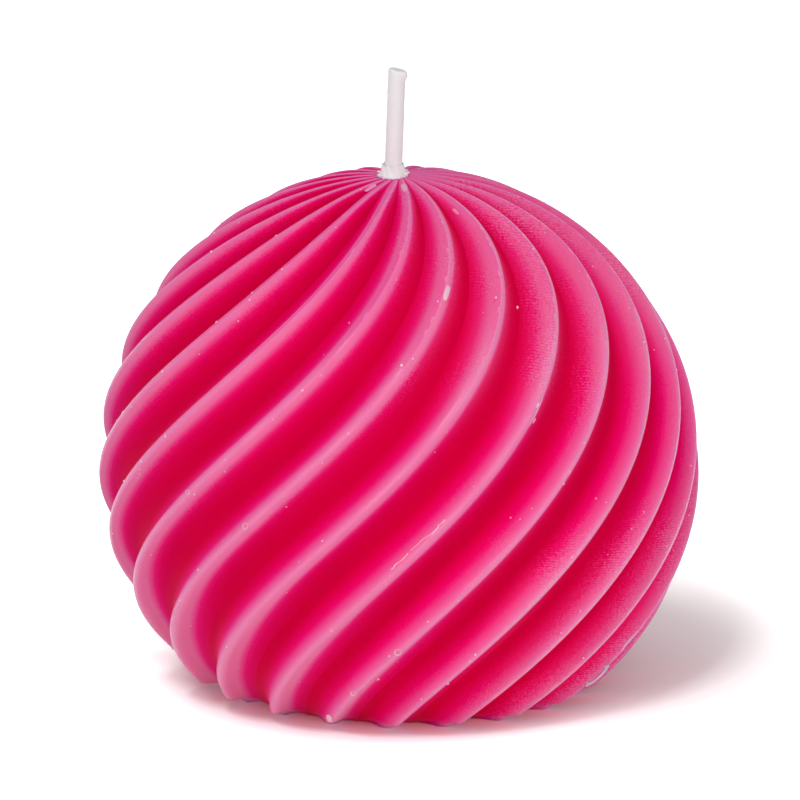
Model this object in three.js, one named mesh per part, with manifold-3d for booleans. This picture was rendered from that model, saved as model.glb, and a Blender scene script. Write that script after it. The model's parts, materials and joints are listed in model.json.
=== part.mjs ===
// Swirled ball candle: a cast wax ball with twisted flutes and a flat base, and a
// stiff waxed wick that stands in a metal sustainer and comes out at the crown.
// Units are millimetres, +Z is up, and the origin is the middle of the base.
import * as THREE from 'three';
import { mergeVertices } from 'three/addons/utils/BufferGeometryUtils.js';
import Module from 'manifold-3d';

const wasm = await Module();
wasm.setup();

// Wax ball, measured over the ridges
const WAIST_DIAMETER = 80;
const WAIST_HEIGHT = 29.6; // base to the widest level
const CROWN_RISE = 39.3; // widest level to the crown
const RIDGE_COUNT = 20;
const RIDGE_LEAD = 245; // height in which a ridge would turn once
const RIDGE_ANGLE = 4.7; // degrees from +X, where a ridge crosses the widest level
const RIDGE_ROUNDING = 0.85; // radius of a ridge's crest
const FLANK_ANGLE = 68; // degrees, the steepest slope of a flute's wall
const BASE_BEVEL_RISE = 0.6;
const BASE_BEVEL_INSET = 1.1;

// Wick
const BRAID_DIAMETER = 1.5;
const WICK_DIAMETER = 2.35; // over the wax coat
const WICK_STICK_OUT = 14.5; // above the crown
const WICK_LEAN = 2; // degrees towards +X, above the crown
const WICK_OFFSET = -0.8; // from the ball's axis, along X
const WICK_TOP_ROUNDING = 0.25;
const WICK_LIP_RADIUS = 0.33; // bead of wax left by the cut

// Wax collar at the wick's foot
const COLLAR_DIAMETER = 3.8;
const COLLAR_HEIGHT = 1.7;
const COLLAR_EDGE = 0.3; // height of its outer edge
const COLLAR_TOP_WALL = 0.15;
const CROWN_SEAT_DEPTH = 0.4;

// Sustainer: a tinplate disc with a drawn neck, crimped on the wick
const SUSTAINER_DIAMETER = 15;
const SHEET_THICKNESS = 0.3;
const SUSTAINER_SET_IN = 0.6; // base to the underside of the disc
const NECK_HEIGHT = 6; // above the disc
const NECK_DRAW_RADIUS = 0.6;
const CRIMP_HEIGHT = 3.6; // above the disc
const CRIMP_LENGTH = 1.6;

// Clearances
const BRAID_GAP = 0.1; // braid to coat
const WICK_GAP = 0.16; // coat to the wax, the collar and the neck
const CRIMP_GAP = 0.08; // coat to the crimp
const SEAT_GAP = 0.1; // collar to its seat
const METAL_GAP = 0.2; // sustainer to the wax

// Facets
const CREST_STEPS = 2; // crest to flank
const HOLLOW_STEPS = 3; // flank to valley
const BALL_RINGS = 24;
const FIRST_RING_ANGLE = 3; // degrees from the crown
const ROUND_SIDES = 24;
const ROUNDING_STEPS = 3;
const LIP_SIDES = 12;
const MERGE_DISTANCE = 1e-4;

const radians = THREE.MathUtils.degToRad;

const waistRadius = WAIST_DIAMETER / 2;
const crownHeight = WAIST_HEIGHT + CROWN_RISE;
const flank = radians(FLANK_ANGLE);

const braidRadius = BRAID_DIAMETER / 2;
const wickRadius = WICK_DIAMETER / 2;
const wickFoot = SUSTAINER_SET_IN;
const wickTop = crownHeight + WICK_STICK_OUT;
const coatBore = braidRadius + BRAID_GAP;
const channelRadius = wickRadius + WICK_GAP;
const collarRadius = COLLAR_DIAMETER / 2;
const seatHeight = crownHeight - CROWN_SEAT_DEPTH;
const discTop = SUSTAINER_SET_IN + SHEET_THICKNESS;
const neckTop = discTop + NECK_HEIGHT;
const neckBore = wickRadius + WICK_GAP;
const neckRadius = neckBore + SHEET_THICKNESS;

// Solids and booleans

function solidOf(geometry) {
  const bare = geometry.clone();
  bare.deleteAttribute('normal');
  bare.deleteAttribute('uv');
  const merged = mergeVertices(bare, MERGE_DISTANCE);
  const mesh = new wasm.Mesh({
    numProp: 3,
    vertProperties: Float32Array.from(merged.attributes.position.array),
    triVerts: Uint32Array.from(merged.index.array),
  });
  return new wasm.Manifold(mesh);
}

function geometryOf(solid) {
  const { vertProperties, triVerts } = solid.getMesh();
  const geometry = new THREE.BufferGeometry();
  geometry.setAttribute('position', new THREE.BufferAttribute(vertProperties, 3));
  geometry.setIndex(new THREE.BufferAttribute(triVerts, 1));
  geometry.computeVertexNormals();
  return geometry;
}

// Turns a profile of [radius, height] points about the wick's own upright axis.
function turned(profile) {
  const points = profile.map(([radius, height]) => new THREE.Vector2(radius, height));
  const geometry = new THREE.LatheGeometry(points, ROUND_SIDES);
  geometry.rotateX(Math.PI / 2);
  geometry.translate(WICK_OFFSET, 0, 0);
  return geometry;
}

// Points on an arc round [radius, height], from one angle in degrees to another.
function arc([centreRadius, centreHeight], radius, from, to) {
  const points = [];
  for (let i = 0; i <= ROUNDING_STEPS; i += 1) {
    const angle = radians(from + ((to - from) * i) / ROUNDING_STEPS);
    points.push([centreRadius + radius * Math.cos(angle), centreHeight + radius * Math.sin(angle)]);
  }
  return points;
}

// Wax ball

// Depth of one flute below the ridges, from a crest to the valley and on to the next
// crest. A round crest runs into a hollow scooped to the flank angle, so the depth
// follows the pitch. Each point has its share of the pitch and its depth.
function fluteSection(pitch) {
  const bothRadii = pitch / (2 * Math.sin(flank));
  const crest = Math.min(RIDGE_ROUNDING, bothRadii / 2);
  const hollow = bothRadii - crest;
  const deepest = bothRadii * (1 - Math.cos(flank));
  const half = [];
  for (let i = 0; i < CREST_STEPS; i += 1) {
    const slope = (flank * i) / CREST_STEPS;
    half.push([(crest * Math.sin(slope)) / pitch, crest * (1 - Math.cos(slope))]);
  }
  for (let i = 0; i < HOLLOW_STEPS; i += 1) {
    const slope = flank * (1 - i / HOLLOW_STEPS);
    half.push([0.5 - (hollow * Math.sin(slope)) / pitch, deepest - hollow * (1 - Math.cos(slope))]);
  }
  const valley = [0.5, deepest];
  const back = half.slice(1).reverse().map(([share, depth]) => [1 - share, depth]);
  return [...half, valley, ...back];
}

// The ridges' envelope at an angle from the crown: its radius, height, outward
// direction, and the flutes' pitch square to the ridges.
function envelope(angle) {
  const radius = waistRadius * Math.sin(angle);
  const rise = CROWN_RISE * Math.cos(angle);
  const outward = new THREE.Vector2(CROWN_RISE * Math.sin(angle), waistRadius * Math.cos(angle));
  outward.normalize();
  const along = Math.hypot(waistRadius * Math.cos(angle), CROWN_RISE * Math.sin(angle));
  const turnPerLength = ((2 * Math.PI) / RIDGE_LEAD) * ((CROWN_RISE * Math.sin(angle)) / along);
  const helix = Math.atan(radius * turnPerLength);
  const pitch = ((2 * Math.PI * radius) / RIDGE_COUNT) * Math.cos(helix);
  return { radius, height: WAIST_HEIGHT + rise, outward, pitch };
}

function ridgeTurn(height) {
  return radians(RIDGE_ANGLE) + (2 * Math.PI * (height - WAIST_HEIGHT)) / RIDGE_LEAD;
}

function ringPoint(radius, height, turn) {
  return [radius * Math.cos(turn), radius * Math.sin(turn), height];
}

// One ring of the ball. Its points follow the ridges round the twist.
function ballRing(angle) {
  const { radius, height, outward, pitch } = envelope(angle);
  const section = fluteSection(pitch);
  const start = ridgeTurn(height);
  const ring = [];
  for (let ridge = 0; ridge < RIDGE_COUNT; ridge += 1) {
    for (const [share, depth] of section) {
      const turn = start + (2 * Math.PI * (ridge + share)) / RIDGE_COUNT;
      ring.push(ringPoint(radius - depth * outward.x, height - depth * outward.y, turn));
    }
  }
  return ring;
}

// A level outline below that angle. The bevel draws in the ridge ends, not the valleys.
function levelRing(angle, height, bevel) {
  const { radius, outward, pitch } = envelope(angle);
  const section = fluteSection(pitch);
  const deepest = Math.max(...section.map(([, depth]) => depth));
  const start = ridgeTurn(height);
  const ring = [];
  for (let ridge = 0; ridge < RIDGE_COUNT; ridge += 1) {
    for (const [share, depth] of section) {
      const slide = ridgeTurn(height + depth * outward.y) - start;
      const turn = start + slide + (2 * Math.PI * (ridge + share)) / RIDGE_COUNT;
      const inset = bevel * (1 - depth / deepest);
      ring.push(ringPoint(radius - depth / outward.x - inset, height, turn));
    }
  }
  return ring;
}

function ballGeometry() {
  const first = radians(FIRST_RING_ANGLE);
  const last = Math.acos((BASE_BEVEL_RISE - WAIST_HEIGHT) / CROWN_RISE);
  const rings = [];
  for (let i = 0; i < BALL_RINGS; i += 1) {
    rings.push(ballRing(first + ((last - first) * i) / BALL_RINGS));
  }
  rings.push(levelRing(last, BASE_BEVEL_RISE, 0), levelRing(last, 0, BASE_BEVEL_INSET));

  const around = rings[0].length;
  const positions = [...rings.flat(2), 0, 0, crownHeight, 0, 0, 0];
  const crown = around * rings.length;
  const base = crown + 1;
  const lastRing = around * (rings.length - 1);
  const index = [];
  for (let i = 0; i < around; i += 1) {
    const next = (i + 1) % around;
    index.push(crown, i, next);
    index.push(base, lastRing + next, lastRing + i);
    for (let ring = 0; ring < rings.length - 1; ring += 1) {
      const upper = ring * around;
      const lower = upper + around;
      index.push(upper + i, lower + i, lower + next);
      index.push(upper + i, lower + next, upper + next);
    }
  }
  const geometry = new THREE.BufferGeometry();
  geometry.setAttribute('position', new THREE.Float32BufferAttribute(positions, 3));
  geometry.setIndex(index);
  return geometry;
}

// The hollow down the middle: the sustainer's recess, the neck's bore, the wick's
// channel and the collar's seat at the crown.
function wickHollow() {
  const beyond = 1;
  const recess = SUSTAINER_DIAMETER / 2 + METAL_GAP;
  const neck = neckRadius + METAL_GAP;
  const seat = collarRadius + SEAT_GAP;
  return turned([
    [0, -beyond],
    [recess, -beyond],
    [recess, discTop + METAL_GAP],
    [neck + NECK_DRAW_RADIUS, discTop + METAL_GAP],
    [neck, discTop + METAL_GAP + NECK_DRAW_RADIUS],
    [neck, neckTop + METAL_GAP],
    [channelRadius, neckTop + METAL_GAP],
    [channelRadius, seatHeight],
    [seat, seatHeight],
    [seat, crownHeight + beyond],
    [0, crownHeight + beyond],
  ]);
}

function waxBody() {
  return geometryOf(solidOf(ballGeometry()).subtract(solidOf(wickHollow())));
}

// Wick

// Leans what stands above the crown towards +X, from a straight foot.
function lean(geometry) {
  const position = geometry.attributes.position;
  for (let i = 0; i < position.count; i += 1) {
    const above = Math.max(0, position.getZ(i) - crownHeight);
    position.setX(i, position.getX(i) + above * Math.tan(radians(WICK_LEAN)));
  }
  return geometry;
}

function wickBraid() {
  return lean(turned([
    [0, wickFoot],
    [braidRadius, wickFoot],
    [braidRadius, crownHeight],
    [braidRadius, wickTop],
    [0, wickTop],
  ]));
}

function wickWaxCoat() {
  const rounding = [wickRadius - WICK_TOP_ROUNDING, wickTop - WICK_TOP_ROUNDING];
  const tube = lean(turned([
    [coatBore, wickFoot],
    [wickRadius, wickFoot],
    [wickRadius, crownHeight],
    ...arc(rounding, WICK_TOP_ROUNDING, 0, 90),
    [coatBore, wickTop],
    [coatBore, crownHeight],
    [coatBore, wickFoot],
  ]));
  const lip = new THREE.SphereGeometry(WICK_LIP_RADIUS, LIP_SIDES, LIP_SIDES / 2);
  const leaned = WICK_STICK_OUT * Math.tan(radians(WICK_LEAN));
  lip.translate(WICK_OFFSET + leaned + wickRadius, 0, wickTop - WICK_TOP_ROUNDING - WICK_LIP_RADIUS);
  return geometryOf(solidOf(tube).add(solidOf(lip)));
}

function wickCollar() {
  const bore = wickRadius + WICK_GAP;
  const foot = seatHeight + SEAT_GAP;
  const shoulder = foot + COLLAR_EDGE;
  const top = foot + COLLAR_HEIGHT;
  const topRadius = bore + COLLAR_TOP_WALL;
  const fillet = collarRadius - topRadius;
  return turned([
    [bore, foot],
    [collarRadius, foot],
    ...arc([collarRadius, shoulder + fillet], fillet, 270, 180),
    [topRadius, top],
    [bore, top],
    [bore, foot],
  ]);
}

// Sustainer

function wickSustainer() {
  const crimp = wickRadius + CRIMP_GAP;
  const crimpLow = discTop + CRIMP_HEIGHT - CRIMP_LENGTH / 2;
  const crimpHigh = crimpLow + CRIMP_LENGTH;
  const crimpMiddle = discTop + CRIMP_HEIGHT;
  const draw = [neckRadius + NECK_DRAW_RADIUS, discTop + NECK_DRAW_RADIUS];
  return turned([
    [neckBore, SUSTAINER_SET_IN],
    [SUSTAINER_DIAMETER / 2, SUSTAINER_SET_IN],
    [SUSTAINER_DIAMETER / 2, discTop],
    ...arc(draw, NECK_DRAW_RADIUS, 270, 180),
    [neckRadius, crimpLow],
    [crimp + SHEET_THICKNESS, crimpMiddle],
    [neckRadius, crimpHigh],
    [neckRadius, neckTop],
    [neckBore, neckTop],
    [neckBore, crimpHigh],
    [crimp, crimpMiddle],
    [neckBore, crimpLow],
    [neckBore, SUSTAINER_SET_IN],
  ]);
}

// Assembly

const candle = new THREE.Group();

function addPart(name, geometry, color, roughness, metalness = 0) {
  const material = new THREE.MeshStandardMaterial({ color, roughness, metalness });
  const mesh = new THREE.Mesh(geometry, material);
  mesh.name = name;
  candle.add(mesh);
}

addPart('wax_body', waxBody(), 0xe3125f, 0.42);
addPart('wick_braid', wickBraid(), 0xf4efe8, 0.95);
addPart('wick_wax_coat', wickWaxCoat(), 0xf3eff0, 0.5);
addPart('wick_collar', wickCollar(), 0xf1e8e9, 0.6);
addPart('wick_sustainer', wickSustainer(), 0xb9bcc0, 0.3, 1);

export default candle;
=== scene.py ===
"""The looks of a swirled ball candle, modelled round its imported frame.

The wax ball, the wick's braid and wax coat, the collar at its foot and the sustainer in the base are
each shaped here as a maker would shape them, and each stands for the plain solid of the same name.
Sizes are in millimetres, and mm() turns them to metres.
"""

import json
import logging
import math
import random
from collections.abc import Callable, Iterator, Sequence
from contextlib import contextmanager
from dataclasses import dataclass, field
from enum import Enum

import bmesh
import bpy
from mathutils import Matrix, Vector

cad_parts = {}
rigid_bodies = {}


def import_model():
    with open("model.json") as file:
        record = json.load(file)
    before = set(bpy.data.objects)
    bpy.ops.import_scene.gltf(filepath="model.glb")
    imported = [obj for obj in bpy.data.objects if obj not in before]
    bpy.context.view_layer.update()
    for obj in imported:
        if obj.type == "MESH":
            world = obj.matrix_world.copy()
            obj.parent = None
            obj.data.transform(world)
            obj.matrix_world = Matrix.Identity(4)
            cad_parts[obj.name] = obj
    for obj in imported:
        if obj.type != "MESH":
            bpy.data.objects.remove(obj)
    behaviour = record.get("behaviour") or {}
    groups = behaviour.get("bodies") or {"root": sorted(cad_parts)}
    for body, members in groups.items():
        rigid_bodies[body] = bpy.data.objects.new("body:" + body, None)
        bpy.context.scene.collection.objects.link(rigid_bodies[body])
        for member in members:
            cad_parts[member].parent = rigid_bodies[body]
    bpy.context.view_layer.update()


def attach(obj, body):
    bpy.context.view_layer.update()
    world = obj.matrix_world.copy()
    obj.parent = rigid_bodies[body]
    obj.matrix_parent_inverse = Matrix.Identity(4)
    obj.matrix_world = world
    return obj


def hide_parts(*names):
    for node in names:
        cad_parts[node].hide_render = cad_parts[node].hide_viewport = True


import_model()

log = logging.getLogger("candle")

BODY = "root"

# Shared sizes in mm: the wick stands a little to the left, in a bore with room round its coat.
WICK_AXIS = -0.8
WICK_BORE = 1.335
MERGE = 0.0005


# Units and colours


def mm(length: float) -> float:
    """Millimetres to metres."""
    return length / 1000


def linear(colour: str) -> tuple[float, float, float, float]:
    """Turns an sRGB hex colour to linear light.

    Args:
        colour: Six hex digits after a hash.

    Returns:
        Red, green, blue and an alpha of 1.
    """
    levels = [int(colour[i : i + 2], 16) / 255 for i in (1, 3, 5)]
    red, green, blue = (
        level / 12.92 if level <= 0.04045 else ((level + 0.055) / 1.055) ** 2.4 for level in levels
    )
    return red, green, blue, 1.0


def ease(share: float) -> float:
    """Eases a share from 0 to 1, level at both ends and held beyond them."""
    held = min(1.0, max(0.0, share))
    return held * held * (3 - 2 * held)


# Modelling by hand


def deselect_all() -> None:
    """Leaves edit mode and deselects every object."""
    if bpy.context.object and bpy.context.object.mode != "OBJECT":
        bpy.ops.object.mode_set(mode="OBJECT")
    bpy.ops.object.select_all(action="DESELECT")


def select_only(*pieces: bpy.types.Object) -> None:
    """Selects these objects alone and makes the first one active.

    Args:
        pieces: The objects.
    """
    deselect_all()
    for piece in pieces:
        piece.select_set(True)
    bpy.context.view_layer.objects.active = pieces[0]


def name_new(name: str) -> bpy.types.Object:
    """Names the object that an operator has just added, and its mesh.

    Args:
        name: The piece's name.

    Returns:
        The object.
    """
    piece = bpy.context.object
    piece.name = name
    piece.data.name = name
    return piece


@contextmanager
def editing(piece: bpy.types.Object, mode: str = "VERT") -> Iterator[bmesh.types.BMesh]:
    """Opens a piece in edit mode with all of it selected, and closes it at the end.

    Args:
        piece: The mesh object.
        mode: What is selected: VERT, EDGE or FACE.

    Yields:
        The mesh as edit mode holds it.
    """
    select_only(piece)
    bpy.ops.object.mode_set(mode="EDIT")
    bpy.ops.mesh.select_mode(type=mode)
    bpy.ops.mesh.select_all(action="SELECT")
    yield bmesh.from_edit_mesh(piece.data)
    bpy.ops.object.mode_set(mode="OBJECT")


def finish_modifier(piece: bpy.types.Object, kind: str, **settings: object) -> None:
    """Adds a modifier with its settings, and applies it.

    Args:
        piece: The object.
        kind: The modifier's type.
        settings: Its properties by name.
    """
    select_only(piece)
    modifier = piece.modifiers.new(kind.title(), kind)
    for name, value in settings.items():
        setattr(modifier, name, value)
    bpy.ops.object.modifier_apply(modifier=modifier.name)


def push(
    piece: bpy.types.Object,
    reach: float,
    weight: Callable[[Vector], float],
    direction: str = "NORMAL",
) -> None:
    """Moves a surface by a weight painted on it, with a Displace modifier.

    Args:
        piece: The object.
        reach: The move in mm where the weight is 1.
        weight: Gives the weight from 0 to 1 at a place in metres.
        direction: NORMAL, X, Y or Z.
    """
    group = piece.vertex_groups.new(name="push")
    for vertex in piece.data.vertices:
        group.add([vertex.index], weight(vertex.co), "REPLACE")
    finish_modifier(
        piece,
        "DISPLACE",
        direction=direction,
        mid_level=0.0,
        strength=mm(reach),
        vertex_group=group.name,
    )
    piece.vertex_groups.clear()


def settle(piece: bpy.types.Object, merge: float) -> None:
    """Puts a piece's place into its mesh, merges its doubles and turns its faces out.

    Args:
        piece: The object.
        merge: Distance in mm under which vertices become one.
    """
    select_only(piece)
    bpy.ops.object.transform_apply(location=True, rotation=True, scale=True)
    with editing(piece):
        bpy.ops.mesh.remove_doubles(threshold=mm(merge))
        bpy.ops.mesh.select_all(action="SELECT")
        bpy.ops.mesh.normals_make_consistent(inside=False)


def turned(
    name: str, profile: Sequence[tuple[float, float]], sides: int, axis: float, hollow: bool
) -> bpy.types.Object:
    """Draws a round piece up from a circle, as on a lathe.

    Args:
        name: The piece's name.
        profile: Radius and height in mm of each ring.
        sides: Corners of each ring.
        axis: The upright axis's place along X in mm.
        hollow: Whether the last ring joins the first, round a bore, or both ends are capped.

    Returns:
        The object, with its faces turned out.
    """
    deselect_all()
    radius, height = profile[0]
    bpy.ops.mesh.primitive_circle_add(
        vertices=sides,
        radius=mm(radius),
        fill_type="NOTHING" if hollow else "NGON",
        location=(mm(axis), 0, mm(height)),
    )
    piece = name_new(name)
    rings = [*profile, profile[0]] if hollow else list(profile)
    with editing(piece, "EDGE" if hollow else "FACE"):
        for (inner, low), (outer, high) in zip(rings, rings[1:]):
            rise = {"value": (0, 0, mm(high - low))}
            if hollow:
                bpy.ops.mesh.extrude_edges_move(TRANSFORM_OT_translate=rise)
            else:
                bpy.ops.mesh.extrude_region_move(TRANSFORM_OT_translate=rise)
            ratio = outer / inner
            bpy.ops.transform.resize(
                value=(ratio, ratio, 1), center_override=(mm(axis), 0, mm(high))
            )
    settle(piece, merge=MERGE)
    return piece


def smooth(piece: bpy.types.Object, angle: float) -> None:
    """Shades a piece smooth, but for its sharper edges.

    Args:
        piece: The object.
        angle: The angle in degrees past which an edge stays sharp.
    """
    select_only(piece)
    bpy.ops.object.shade_smooth_by_angle(angle=math.radians(angle))



def add_point_value(piece: bpy.types.Object, name: str, value: Callable[[Vector], float]) -> None:
    """Stores a number at each vertex, for the materials.

    Args:
        piece: The object.
        name: The attribute's name.
        value: Gives the number at a place in metres.
    """
    attribute = piece.data.attributes.new(name, "FLOAT", "POINT")
    values = [value(vertex.co) for vertex in piece.data.vertices]
    attribute.data.foreach_set("value", values)


def add_corner_value(
    piece: bpy.types.Object, name: str, value: Callable[[Vector, Vector], float]
) -> None:
    """Stores a number at each corner of each face, for the materials.

    Args:
        piece: The object.
        name: The attribute's name.
        value: Gives the number at a corner of the face with this middle, both in metres.
    """
    mesh = piece.data
    attribute = mesh.attributes.new(name, "FLOAT", "CORNER")
    values = [0.0] * len(mesh.loops)
    for face in mesh.polygons:
        middle = face.center
        for corner in face.loop_indices:
            place = mesh.vertices[mesh.loops[corner].vertex_index].co
            values[corner] = value(place, middle)
    attribute.data.foreach_set("value", values)


def add_face_value(piece: bpy.types.Object, name: str, value: float) -> None:
    """Stores one number on every face, for the materials.

    Args:
        piece: The object.
        name: The attribute's name.
        value: The number.
    """
    attribute = piece.data.attributes.new(name, "FLOAT", "FACE")
    attribute.data.foreach_set("value", [value] * len(piece.data.polygons))


# Materials

Socket = bpy.types.NodeSocket

# The colours of a mix node go by number, because its plain numbers have the same names.
MIX_ONE = 6
MIX_OTHER = 7
MIX_RESULT = 2


def per_mm(count: float) -> float:
    """Turns a pattern's repeats in each mm to its scale, which is for each metre."""
    return count * 1000


class Coating:
    """A material being built up, node by node."""

    def __init__(self, name: str) -> None:
        """Starts an empty material.

        Args:
            name: What the real material is.
        """
        self.material = bpy.data.materials.new(name)
        self.material.use_nodes = True
        self.tree = self.material.node_tree
        self.tree.nodes.clear()

    def add(self, kind: str, inputs: dict | None = None, **settings: object) -> bpy.types.Node:
        """Adds a node with its settings and links.

        Args:
            kind: The node's type, without its prefix.
            inputs: Values, or output sockets to link, by input name or number.
            settings: The node's own properties by name.

        Returns:
            The node.
        """
        node = self.tree.nodes.new("ShaderNode" + kind)
        for name, value in settings.items():
            setattr(node, name, value)
        for key, value in (inputs or {}).items():
            if isinstance(value, bpy.types.NodeSocket):
                self.tree.links.new(value, node.inputs[key])
            else:
                node.inputs[key].default_value = value
        return node

    def math(self, operation: str, one: Socket | float, other: Socket | float) -> Socket:
        """Combines two values.

        Args:
            operation: What is done with them.
            one: The first value or socket.
            other: The second value or socket.

        Returns:
            The result's socket.
        """
        return self.add("Math", {0: one, 1: other}, operation=operation).outputs["Value"]

    def finish(self, surface: bpy.types.NodeSocket) -> bpy.types.Material:
        """Links the surface to the output.

        Args:
            surface: The shader's output socket.

        Returns:
            The finished material.
        """
        self.add("OutputMaterial", {"Surface": surface})
        return self.material


def dress(piece: bpy.types.Object, material: bpy.types.Material, node: str) -> None:
    """Gives a piece its material, body and slot, and lets it stand for its plain solid.

    Args:
        piece: The finished piece.
        material: Its material.
        node: The plain solid that it replaces.
    """
    piece.data.materials.clear()
    piece.data.materials.append(material)
    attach(piece, BODY)
    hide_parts(node)


@dataclass(frozen=True)
class DyedParaffin:
    """Paraffin dyed hot pink through and cast in a rubber mould.

    The eye sees a satin skin over a body that light enters, and the mould leaves specks,
    fine level lines and a grain, with a painted sheen on the crests where the grain lies.

    The tones run from the hollow above a ridge, over its crest at 0.5, to the hollow below it. The
    pale crest is a painted highlight and the deep red-pink hollows are painted shade, deeper on
    one flank of each ridge than on the other. They were matched to the photo's own colours, so
    they hold some of its light as well as the dye.
    """

    roughness: float = 0.42
    ior: float = 1.43
    scatter: tuple[float, float, float] = (2.2, 0.35, 0.7)
    # White for scuffs and specks, and for a painted sheen on the grainy crests.
    wear_and_sheen: str = "#ffdbe6"
    dust: str = "#ffe4ea"
    polish: float = 0.7
    polish_edge: tuple[float, float] = (0.04, 0.16)
    # Repeats in each mm: grain of 0.3 mm, patches of 1 cm and cells of 1.6 mm for the specks.
    grain_count: float = 3.4
    patch_count: float = 0.095
    speck_count: float = 0.62
    # A wave repeats every 0.314 of its scale, so these level lines are 0.3 mm apart.
    line_count: float = 1.047
    line_share: float = 0.16
    grain_pull: float = 1.1
    grain_white: float = 1.1
    # How white the painted sheen on the crests grows where the grain lies.
    painted_sheen_white: float = 0.16
    speck_radius: float = 0.075
    speck_rarity: float = 0.45
    speck_white: float = 0.6
    # Pale tones near 0.5 are a painted highlight; deep red ends, nearer past 0.5, are painted shade.
    tones: tuple[tuple[float, str], ...] = (
        (0.0, "#dc0042"),
        (0.1, "#e6004e"),
        (0.19, "#ee0060"),
        (0.275, "#f60476"),
        (0.32, "#f82a88"),
        (0.37, "#f94f9a"),
        (0.43, "#fa6ca8"),
        (0.5, "#fc84b6"),
        (0.605, "#fc7cb0"),
        (0.64, "#f94c98"),
        (0.67, "#f4127c"),
        (0.72, "#ea0062"),
        (0.82, "#e2004e"),
        (1.0, "#dc0042"),
    )

    def ripple(self, wax: Coating, place: Socket, grain: Socket, grain_and_sheen_share: Socket) -> Socket:
        """Makes the grain in patches, with faint level lines. Its strength also whitens and widens
        the painted highlight on the crests.

        Args:
            wax: The material.
            place: The place on the piece.
            grain: The fine grain.
            grain_and_sheen_share: The share of grain and painted sheen.

        Returns:
            The grain's strength, above and below zero.
        """
        patches = wax.add(
            "TexNoise", {"Vector": place, "Scale": per_mm(self.patch_count), "Detail": 1.0}
        ).outputs["Fac"]
        patchy = wax.add(
            "MapRange", {"Value": patches, "From Min": 0.38, "From Max": 0.62, "To Min": 0.15}
        ).outputs["Result"]
        grain_and_sheen = wax.math("MULTIPLY", patchy, grain_and_sheen_share)
        layers = wax.add(
            "TexWave",
            {"Vector": place, "Scale": per_mm(self.line_count), "Distortion": 0.6, "Detail": 1.0},
            wave_type="BANDS",
            bands_direction="Z",
        ).outputs["Fac"]
        lined = wax.math("MULTIPLY", wax.math("POWER", grain_and_sheen, 2.0), wax.math("SUBTRACT", layers, 0.5))
        grained = wax.math("MULTIPLY", grain_and_sheen, wax.math("SUBTRACT", grain, 0.5))
        return wax.math("ADD", grained, wax.math("MULTIPLY", lined, self.line_share))

    def tone(self, wax: Coating, aside: Socket) -> Socket:
        """Colours the wax by how far it lies aside of the crest: a painted highlight on the crest,
        and painted shade towards the hollows.

        Args:
            wax: The material.
            aside: The signed share aside, from -0.5 to 0.5.

        Returns:
            The colour.
        """
        skin = wax.add("ValToRGB", {"Fac": wax.math("ADD", aside, 0.5)})
        stops = skin.color_ramp.elements
        while len(stops) < len(self.tones):
            stops.new(0.5)
        for stop, (share, tone) in zip(stops, self.tones):
            stop.position = share
            stop.color = linear(tone)
        return skin.outputs["Color"]

    def whitened(
        self, wax: Coating, place: Socket, away: Socket, ripple: Socket, grain_and_sheen_share: Socket
    ) -> Socket:
        """Finds how white the wax is: at its marks, at specks, and on the crests at the grain and a
        painted sheen.

        Args:
            wax: The material.
            place: The place on the piece.
            away: The share away from the crest.
            ripple: The grain's strength.
            grain_and_sheen_share: The share of grain and painted sheen.

        Returns:
            The share of white.
        """
        cells = wax.add("TexVoronoi", {"Vector": place, "Scale": per_mm(self.speck_count)}).outputs
        chance = wax.add("SeparateColor", {"Color": cells["Color"]}).outputs["Red"]
        kept = wax.math("GREATER_THAN", chance, wax.math("ADD", away, self.speck_rarity))
        small = wax.math("LESS_THAN", cells["Distance"], self.speck_radius)
        speck = wax.math("MULTIPLY", small, kept)
        scuffed = wax.add("Attribute", attribute_name="scuffed").outputs["Fac"]
        scuffed = wax.math("MAXIMUM", scuffed, wax.math("MULTIPLY", speck, self.speck_white))
        proud = wax.math("POWER", wax.math("SUBTRACT", 1.0, away), 3.0)
        # A white veil on the proud crests where the grain lies: a painted sheen.
        painted_sheen = wax.math("MULTIPLY", wax.math("POWER", grain_and_sheen_share, 2.0), self.painted_sheen_white)
        grains = wax.math("ADD", wax.math("MULTIPLY", ripple, self.grain_white), painted_sheen)
        return wax.math("MAXIMUM", scuffed, wax.math("MULTIPLY", grains, proud))

    def make(self) -> bpy.types.Material:
        """Builds the material.

        Returns:
            The material.
        """
        wax = Coating("dyed_paraffin")
        place = wax.add("TexCoord").outputs["Object"]
        across = wax.add("Attribute", attribute_name="across").outputs["Fac"]
        # The share of grain and of painted sheen, stored on the ball.
        grain_and_sheen_share = wax.add("Attribute", attribute_name="grain_and_sheen").outputs["Fac"]
        grain = wax.add(
            "TexNoise",
            {"Vector": place, "Scale": per_mm(self.grain_count), "Detail": 2.0, "Roughness": 0.7},
        ).outputs["Fac"]
        ripple = self.ripple(wax, place, grain, grain_and_sheen_share)
        # Where the grain stands proud a point is taken as nearer to the crest, widening the painted
        # highlight.
        spread = wax.math("SUBTRACT", 1.0, wax.math("MULTIPLY", ripple, self.grain_pull))
        aside = wax.math("MULTIPLY", wax.math("SUBTRACT", across, 0.5), spread)
        away = wax.math("MINIMUM", wax.math("MULTIPLY", wax.math("ABSOLUTE", aside, 0.0), 2.0), 1.0)
        white = self.whitened(wax, place, away, ripple, grain_and_sheen_share)
        # The white mixed in here marks scuffs and specks, and on the grainy crests it is a painted
        # sheen.
        wear_and_sheen = wax.add(
            "Mix",
            {"Factor": white, MIX_ONE: self.tone(wax, aside), MIX_OTHER: linear(self.wear_and_sheen)},
            data_type="RGBA",
        )
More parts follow.
